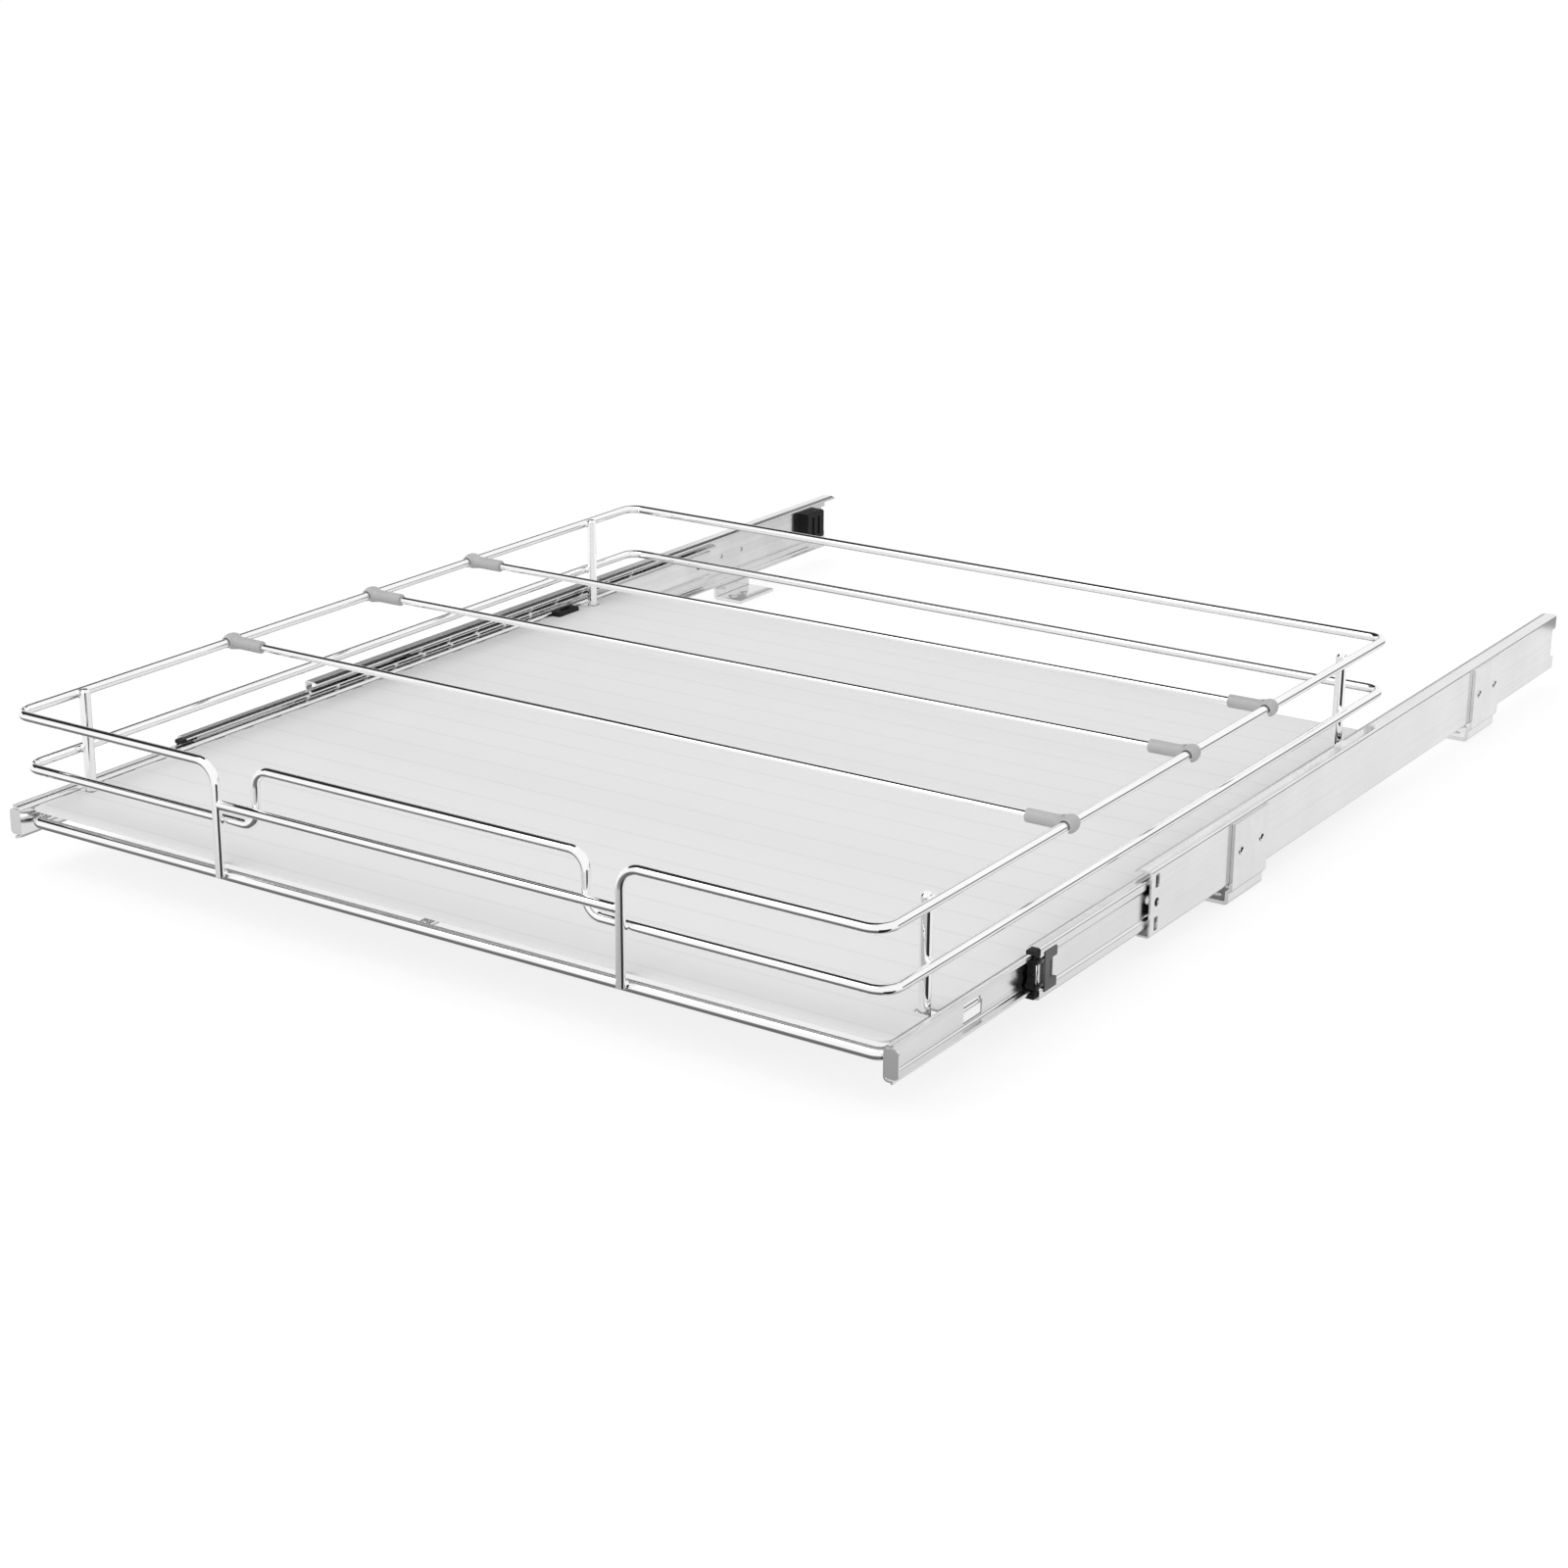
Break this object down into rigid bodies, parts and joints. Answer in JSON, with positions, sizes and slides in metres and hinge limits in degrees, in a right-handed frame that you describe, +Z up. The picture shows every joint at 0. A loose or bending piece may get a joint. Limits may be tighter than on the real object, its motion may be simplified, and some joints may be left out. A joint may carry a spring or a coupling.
{
  "type": "pull-out pantry shelf",
  "caption": "Chrome wire pull-out pantry basket on two floor-mounted, full-extension ball slides, with a flat liner and sliding divider rods.",
  "frame": {"origin": "on the cabinet floor, at the centre of the four main floor screws", "axes": "+Z up, +Y into the cabinet, +X to the right as seen from the front; the basket pulls out along -Y"},
  "size_m": [0.5528, 0.781, 0.0931],
  "materials": {
    "zinc": "bright zinc plate, satin, rolled steel strip",
    "ball_steel": "polished bearing balls, lightly greased",
    "cage_sheet": "dark phosphated strip, matte",
    "black_plastic": "black moulded plastic, soft sheen",
    "chrome_wire": "bright chrome-plated steel wire",
    "grey_plastic": "mid grey moulded plastic, fine satin",
    "liner_plastic": "frosted pale grey plastic sheet, slightly translucent"
  },
  "bodies": {
    "fixed_rails": {"outer_member_left": "zinc", "outer_member_right": "zinc", "rear_stop_left": "black_plastic", "rear_stop_right": "black_plastic", "foot_front_left": "zinc", "foot_front_right": "zinc", "foot_rear_left": "zinc", "foot_rear_right": "zinc", "foot_rivets": "zinc"},
    "basket": {"inner_member_left": "zinc", "inner_member_right": "zinc", "liner_clip_left": "black_plastic", "liner_clip_right": "black_plastic", "bottom_frame": "chrome_wire", "top_rim": "chrome_wire", "mid_rim": "chrome_wire", "front_bar": "chrome_wire", "floor_wires": "chrome_wire", "floor_spine": "chrome_wire", "liner": "liner_plastic", "post_front_left": "chrome_wire", "post_front_right": "chrome_wire", "post_rear_left": "chrome_wire", "post_rear_right": "chrome_wire"},
    "middle_left": {"middle_member_left": "zinc", "front_latch_left": "black_plastic"},
    "outer_cage_left": {"outer_cage_left": "cage_sheet", "outer_balls_left": "ball_steel"},
    "inner_cage_left": {"inner_cage_left": "cage_sheet", "inner_balls_left": "ball_steel"},
    "middle_right": {"middle_member_right": "zinc", "front_latch_right": "black_plastic"},
    "outer_cage_right": {"outer_cage_right": "cage_sheet", "outer_balls_right": "ball_steel"},
    "inner_cage_right": {"inner_cage_right": "cage_sheet", "inner_balls_right": "ball_steel"},
    "divider_front": {"divider_rod_front": "chrome_wire", "divider_clip_front_left": "grey_plastic", "divider_clip_front_right": "grey_plastic"},
    "divider_middle": {"divider_rod_middle": "chrome_wire", "divider_clip_middle_left": "grey_plastic", "divider_clip_middle_right": "grey_plastic"},
    "divider_rear": {"divider_rod_rear": "chrome_wire", "divider_clip_rear_left": "grey_plastic", "divider_clip_rear_right": "grey_plastic"}
  },
  "joints": [
    {"name": "basket_slide", "type": "slide", "parent": "fixed_rails", "child": "basket", "axis": [0, -1, 0], "range_m": [-0.2295, 0.3005]},
    {"name": "middle_left_slide", "type": "slide", "parent": "fixed_rails", "child": "middle_left", "axis": [0, -1, 0], "range_m": [-0.11475, 0.15025]},
    {"name": "outer_cage_left_slide", "type": "slide", "parent": "fixed_rails", "child": "outer_cage_left", "axis": [0, -1, 0], "range_m": [-0.05738, 0.07512]},
    {"name": "inner_cage_left_slide", "type": "slide", "parent": "fixed_rails", "child": "inner_cage_left", "axis": [0, -1, 0], "range_m": [-0.17213, 0.22537]},
    {"name": "middle_right_slide", "type": "slide", "parent": "fixed_rails", "child": "middle_right", "axis": [0, -1, 0], "range_m": [-0.11475, 0.15025]},
    {"name": "outer_cage_right_slide", "type": "slide", "parent": "fixed_rails", "child": "outer_cage_right", "axis": [0, -1, 0], "range_m": [-0.05738, 0.07512]},
    {"name": "inner_cage_right_slide", "type": "slide", "parent": "fixed_rails", "child": "inner_cage_right", "axis": [0, -1, 0], "range_m": [-0.17213, 0.22537]},
    {"name": "divider_front_slide", "type": "slide", "parent": "basket", "child": "divider_front", "axis": [0, 1, 0], "range_m": [-0.1, 0.05]},
    {"name": "divider_middle_slide", "type": "slide", "parent": "basket", "child": "divider_middle", "axis": [0, 1, 0], "range_m": [-0.05, 0.038]},
    {"name": "divider_rear_slide", "type": "slide", "parent": "basket", "child": "divider_rear", "axis": [0, 1, 0], "range_m": [-0.038, 0.088]}
  ],
  "couplings": [
    {"joint": "middle_left_slide", "follows": "basket_slide", "ratio": 0.5},
    {"joint": "outer_cage_left_slide", "follows": "basket_slide", "ratio": 0.25},
    {"joint": "inner_cage_left_slide", "follows": "basket_slide", "ratio": 0.75},
    {"joint": "middle_right_slide", "follows": "basket_slide", "ratio": 0.5},
    {"joint": "outer_cage_right_slide", "follows": "basket_slide", "ratio": 0.25},
    {"joint": "inner_cage_right_slide", "follows": "basket_slide", "ratio": 0.75}
  ]
}
